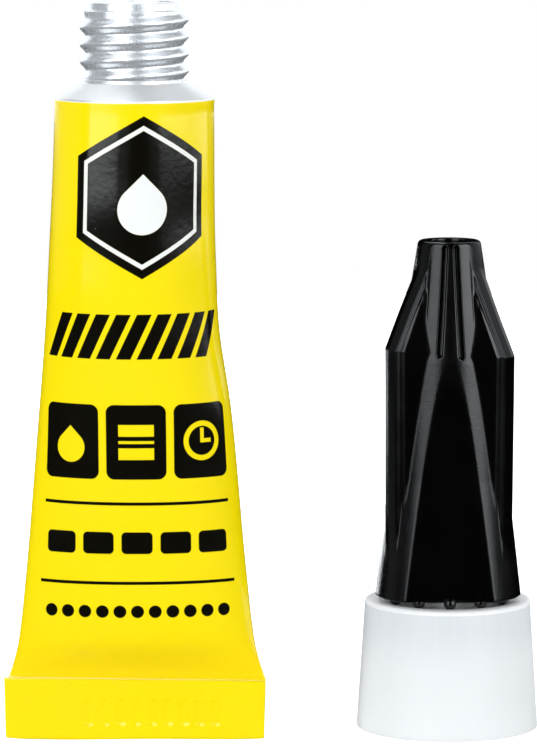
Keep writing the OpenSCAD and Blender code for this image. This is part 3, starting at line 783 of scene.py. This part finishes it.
ink_bar, given, gives = new_group("ink_bar", {
    "Place": None, "X": 0.0, "Y": 0.0, "Half Width": 1.0, "Half Height": 1.0, "Turn": 0.0, "Corner": 0.0,
    "Slant": 0.0, "Pitch": 1.0, "Repeats": 0.0,
}, ["Mask"])
spot = add(ink_bar, "SeparateXYZ", {0: given["Place"]}).outputs
y = count(ink_bar, "SUBTRACT", spot[1], given["Y"])
x = count(ink_bar, "SUBTRACT", spot[0], given["X"])
x = count(ink_bar, "SUBTRACT", x, count(ink_bar, "MULTIPLY", y, given["Slant"]))
flat = add(ink_bar, "CombineXYZ", {0: from_nearest(ink_bar, x, given), 1: y})
turned = add(ink_bar, "VectorRotate", {"Vector": flat.outputs[0], "Angle": given["Turn"]},
             rotation_type="Z_AXIS")
spot = add(ink_bar, "SeparateXYZ", {0: turned.outputs[0]}).outputs
over = []
for distance, size in zip(spot, ("Half Width", "Half Height")):
    beyond = count(ink_bar, "SUBTRACT", count(ink_bar, "ABSOLUTE", distance), given[size])
    over.append(count(ink_bar, "ADD", beyond, given["Corner"]))
outer = [count(ink_bar, "MAXIMUM", d, 0.0) for d in over]
outer = count(ink_bar, "SQRT", count(ink_bar, "ADD", *[count(ink_bar, "MULTIPLY", d, d) for d in outer]))
inner = count(ink_bar, "MINIMUM", count(ink_bar, "MAXIMUM", *over), 0.0)
rule = count(ink_bar, "SUBTRACT", count(ink_bar, "ADD", outer, inner), given["Corner"])
wire(ink_bar, gives["Mask"], ramp(ink_bar, rule, INK_EDGE, -INK_EDGE))
print("group", ink_bar.name, "has", len(ink_bar.nodes), "nodes")

# %% Disc of ink
ink_disc, given, gives = new_group("ink_disc", {
    "Place": None, "X": 0.0, "Y": 0.0, "Radius": 1.0, "Pitch": 1.0, "Repeats": 0.0,
}, ["Mask"])
spot = add(ink_disc, "SeparateXYZ", {0: given["Place"]}).outputs
x = count(ink_disc, "SUBTRACT", spot[0], given["X"])
y = count(ink_disc, "SUBTRACT", spot[1], given["Y"])
x = from_nearest(ink_disc, x, given)
squares = count(ink_disc, "ADD", count(ink_disc, "MULTIPLY", x, x), count(ink_disc, "MULTIPLY", y, y))
rule = count(ink_disc, "SUBTRACT", count(ink_disc, "SQRT", squares), given["Radius"])
wire(ink_disc, gives["Mask"], ramp(ink_disc, rule, INK_EDGE, -INK_EDGE))
print("group", ink_disc.name, "has", len(ink_disc.nodes), "nodes")

# %% [markdown]
# ## Printed enamel
# The wall is roller-coated white, then yellow, printed with black and varnished. Its gloss has a slight
# orange peel, the white coat shows as a thin line at the shoulder, and the pressed edges of the fold are
# rubbed down to the metal here and there.

# %% Marks of the print
enamel, tree, enamel_shader = new_finish("printed_enamel", Roughness=0.2, IOR=1.5)
place = add(tree, "UVMap", uv_map="print_mm").outputs[0]


def bar(x, y, half_width, half_height, turn=0.0, corner=0.0, slant=0.0, pitch=1.0, repeats=0.0):
    return use_group(tree, ink_bar, Place=place, X=x, Y=y, Half_Width=half_width, Half_Height=half_height,
                     Turn=math.radians(turn), Corner=corner, Slant=slant, Pitch=pitch, Repeats=repeats)[0]


def disc(x, y, radius, pitch=1.0, repeats=0.0):
    return use_group(tree, ink_disc, Place=place, X=x, Y=y, Radius=radius, Pitch=pitch, Repeats=repeats)[0]


def any_of(first, *others):
    for other in others:
        first = count(tree, "MAXIMUM", first, other)
    return first


def all_of(first, *others):
    for other in others:
        first = count(tree, "MINIMUM", first, other)
    return first


def without(mark, cut):
    return count(tree, "MULTIPLY", mark, count(tree, "SUBTRACT", 1.0, cut))


def drop(x, y, radius):
    return any_of(disc(x, y, radius), bar(x, y + radius / math.sqrt(2), radius / 2, radius / 2, turn=45))


def hexagon(x, y, reach):
    return all_of(*[bar(x, y, 2 * reach, reach, turn=turn) for turn in (30, 90, 150)])


badge_x, badge_y = 1.0, 47.2
row_x = 0.2
block_y, block_pitch = 26.5, 5.75
clock_x = row_x + block_pitch
badge = hexagon(badge_x, badge_y, 5.9)
badge_line = without(hexagon(badge_x, badge_y, 5.2), hexagon(badge_x, badge_y, 4.85))
badge_drop = drop(badge_x, badge_y - 1.0, 2.1)
slanted_row = bar(row_x, 35.5, 0.62, 1.9, slant=0.5, pitch=1.75, repeats=4)
blocks = bar(row_x, block_y, 2.55, 3.2, corner=0.7, pitch=block_pitch, repeats=1)
plates = any_of(bar(row_x, block_y + 1, 1.5, 0.5), bar(row_x, block_y - 1, 1.5, 0.5),
                bar(row_x, block_y, 1.5, 0.12))
clock_ring = without(disc(clock_x, block_y, 1.7), disc(clock_x, block_y, 1.25))
clock = any_of(clock_ring, bar(clock_x, block_y + 0.5, 0.17, 0.6), bar(clock_x + 0.35, block_y, 0.5, 0.17))
pictures = any_of(drop(row_x - block_pitch, block_y - 0.5, 1.3), plates, clock)
rules = any_of(bar(row_x, 21.2, 8.3, 0.14), bar(row_x, 14.3, 8.6, 0.14))
dashes = bar(row_x, 17.8, 1.32, 0.95, corner=0.4, pitch=3.3, repeats=2)
dots = disc(row_x, 11.8, 0.55, pitch=1.5, repeats=5)
white_marks = any_of(badge_line, badge_drop)
black_marks = any_of(without(badge, white_marks), slanted_row, without(blocks, pictures), rules,
                     dashes, dots)
print("print made with", len(tree.nodes), "nodes")

# %% Colour and gloss of the enamel
wall_height = add(tree, "SeparateXYZ", {0: place}).outputs[1]
peel = use_group(tree, mould_grain, Size=0.5, Softness=0.4)
fine_dust = use_group(tree, dust, Spacing=3.0, Speck=0.03, Share=0.25)
YELLOW, GOLD, INK = (0.95, 0.75, 0.001, 1), (0.99, 0.7, 0.001, 1), (0.004, 0.0036, 0.002, 1)
WHITE_COAT, RUBBED = (0.86, 0.87, 0.85, 1), (0.8, 0.8, 0.8, 1)
DUST_ROUGHNESS = 0.4
# Painted shade: the wall is tinted golden just above the fold, where it faces down and gets less light.
painted_shade_near_tail = count(tree, "MULTIPLY", ramp(tree, wall_height, 12.0, 5.5), ramp(tree, wall_height, 4.6, 5.2))
ground = blend_colour(tree, painted_shade_near_tail, YELLOW, GOLD)
ground = blend_colour(tree, count(tree, "MULTIPLY", peel["Blotch"], 0.15), ground, GOLD)
printed = blend_colour(tree, black_marks, ground, INK)
printed = blend_colour(tree, white_marks, printed, WHITE_COAT)
coat_line = ramp(tree, wall_height, 55.02, 55.08)
printed = blend_colour(tree, coat_line, printed, WHITE_COAT)
at_fold = count(tree, "MULTIPLY", ramp(tree, wall_height, -0.75, -0.45), ramp(tree, wall_height, 0.5, 0.2))
rubbed = count(tree, "MULTIPLY", at_fold, ramp(tree, peel["Blotch"], 0.56, 0.62))
printed = blend_colour(tree, rubbed, printed, RUBBED)
wire(tree, enamel_shader.inputs["Base Color"], printed)
wire(tree, enamel_shader.inputs["Metallic"], rubbed)
gloss = count(tree, "ADD", count(tree, "MULTIPLY", peel["Blotch"], 0.08), 0.1)
gloss = count(tree, "ADD", gloss, count(tree, "MULTIPLY", fine_dust["Mask"], DUST_ROUGHNESS))
wire(tree, enamel_shader.inputs["Roughness"], gloss)
relief(tree, enamel_shader, peel["Height"], 0.12, 0.00005)
print("enamel made")

# %% [markdown]
# ## Bare aluminium
# Neck, shoulder and membrane are left bare. The neck is bright and carries the rings of the thread tool,
# and the shoulder is a duller satin. The membrane is the same metal.

# %% Aluminium and steel
SHOULDER_ROUGHNESS, NECK_ROUGHNESS = 0.27, 0.2


def object_height(tree):
    """Height above the floor in metres."""
    return add(tree, "SeparateXYZ", {0: add(tree, "TexCoord").outputs["Object"]}).outputs[2]


aluminium, tree, shader = new_finish("bare_aluminium", Metallic=0.65)
lines = use_group(tree, tool_rings, Pitch=0.07, Waver=0.4)
stains = use_group(tree, mould_grain, Size=0.25, Softness=0.6)
height = object_height(tree)
on_neck = ramp(tree, height, 0.0564, 0.0567)
tone = blend_colour(tree, on_neck, (0.88, 0.89, 0.9, 1), (0.86, 0.89, 0.93, 1))
tone = blend_colour(tree, count(tree, "MULTIPLY", ramp(tree, stains["Height"], 0.5, 0.75), 0.25), tone,
                    (0.62, 0.63, 0.65, 1))
wire(tree, shader.inputs["Base Color"], tone)
gloss = ramp(tree, on_neck, 0.0, 1.0, SHOULDER_ROUGHNESS, NECK_ROUGHNESS)
gloss = count(tree, "ADD", gloss, count(tree, "MULTIPLY", lines["Streak"], 0.12))
wire(tree, shader.inputs["Roughness"], gloss)
relief(tree, shader, lines["Height"], 0.35, 0.00004)

steel, tree, shader = new_finish("needle_steel", Metallic=1.0)
lines = use_group(tree, tool_rings, Pitch=0.3, Waver=0.1)
tone = blend_colour(tree, lines["Streak"], (0.55, 0.55, 0.56, 1), (0.75, 0.75, 0.76, 1))
wire(tree, shader.inputs["Base Color"], tone)
wire(tree, shader.inputs["Roughness"], ramp(tree, lines["Streak"], 0.2, 0.8, 0.2, 0.4))
relief(tree, shader, lines["Streak"], 0.3, 0.00002)
print("metals made")

# %% [markdown]
# ## Plastics, latex and glue
# The nozzle is natural polythene, which lets some light in and scatters it. Its colour is painted darker
# towards the top as shade, and its top rim painted lighter as light. The cap is black, glossy on its flat
# faces and grained on its core. The latex in the tail and the glue are inside and never seen whole, but get
# their own finishes so that the part can be opened up.

# %% Plastic finishes
milky, tree, shader = new_finish(
    "milky_polythene", IOR=1.51, Subsurface_Weight=0.7, Subsurface_Scale=0.002,
    Subsurface_Radius=(1.0, 1.0, 0.95),
)
cloud = use_group(tree, mould_grain, Size=0.3, Softness=0.5)
flow = use_group(tree, tool_rings, Pitch=0.3, Waver=0.2)
height = object_height(tree)
# Painted shade: the nozzle's colour turns darker towards its top.
painted_shade_to_top = ramp(tree, height, 0.0055, 0.0105)
# Painted light: the nozzle's top rim is coloured lighter than the rest.
painted_light_on_rim = ramp(tree, height, 0.01078, 0.01092)
whites = blend_colour(tree, cloud["Blotch"], (0.825, 0.85, 0.855, 1), (0.863, 0.871, 0.871, 1))
painted_top_shade = blend_colour(tree, flow["Streak"], (0.68, 0.705, 0.725, 1), (0.75, 0.77, 0.78, 1))
skirt_tone = blend_colour(tree, painted_shade_to_top, whites, painted_top_shade)
wire(tree, shader.inputs["Base Color"], blend_colour(tree, painted_light_on_rim, skirt_tone, (0.96, 0.96, 0.96, 1)))
wire(tree, shader.inputs["Roughness"], ramp(tree, cloud["Blotch"], 0.3, 0.7, 0.34, 0.44))
relief(tree, shader, cloud["Height"], 0.15, 0.00004)

black, tree, shader = new_finish("black_moulding", IOR=1.46)
grain = use_group(tree, mould_grain, Size=0.16, Softness=0.6)
specks = use_group(tree, dust, Spacing=1.6, Speck=0.03, Share=0.12)
wire(tree, shader.inputs["Base Color"],
     blend_colour(tree, specks["Mask"], (0.0012, 0.0012, 0.0015, 1), (0.1, 0.1, 0.11, 1)))
core = add(tree, "Attribute", attribute_name="core_grain").outputs["Fac"]
gloss = ramp(tree, grain["Blotch"], 0.3, 0.7, 0.15, 0.2)
gloss = count(tree, "ADD", gloss, count(tree, "MULTIPLY", core, 0.06))
gloss = count(tree, "ADD", gloss, count(tree, "MULTIPLY", specks["Mask"], DUST_ROUGHNESS))
wire(tree, shader.inputs["Roughness"], gloss)
relief(tree, shader, count(tree, "MULTIPLY", grain["Height"], core), 0.3, 0.00006)
print("plastics made")

# %% Latex and glue
latex, tree, shader = new_finish("latex", IOR=1.52)
grain = use_group(tree, mould_grain, Size=0.2, Softness=0.6)
wire(tree, shader.inputs["Base Color"],
     blend_colour(tree, grain["Blotch"], (0.72, 0.56, 0.3, 1), (0.82, 0.68, 0.42, 1)))
wire(tree, shader.inputs["Roughness"], ramp(tree, grain["Blotch"], 0.3, 0.7, 0.4, 0.6))
relief(tree, shader, grain["Height"], 0.3, 0.00005)

glue, tree, shader = new_finish("clear_adhesive", IOR=1.45, Transmission_Weight=1.0)
cloud = use_group(tree, mould_grain, Size=0.8, Softness=0.4)
wire(tree, shader.inputs["Base Color"],
     blend_colour(tree, cloud["Blotch"], (0.93, 0.95, 0.95, 1), (0.98, 0.98, 0.96, 1)))
wire(tree, shader.inputs["Roughness"], ramp(tree, cloud["Blotch"], 0.3, 0.7, 0.02, 0.08))
print("latex and glue made")

# %% Put the finishes on
tube.data.materials.append(enamel)
tube.data.materials.append(aluminium)
tube.data.polygons.foreach_set("material_index", bare)
cap.data.materials.append(black)
node_finishes = {
    "pierce_membrane": aluminium, "end_seal": latex, "adhesive_fill": glue, "nozzle": milky,
    "clearing_needle": steel,
}
for node, finish in node_finishes.items():
    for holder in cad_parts[node].material_slots:
        holder.material = finish

# %% [markdown]
# ## Flags
# In a studio, black cards called flags keep the light of one lamp off one piece. A lamp's receiver
# collection does the same here: the cap shows its own panels, and everything else those for the metal.


# %% Flags
def light_only(lamps, pieces, name):
    """Lets lamps light these pieces and nothing else."""
    lit = bpy.data.collections.new(name)
    for piece in pieces:
        lit.objects.link(piece)
    for lamp in lamps:
        lamp.light_linking.receiver_collection = lit


others = [thing for thing in bpy.context.scene.objects if thing.type == "MESH" and thing != cap]
light_only(cap_panels, [cap], "lit_on_the_cap")
light_only(tube_panels + [right_softbox], others, "lit_on_the_rest")
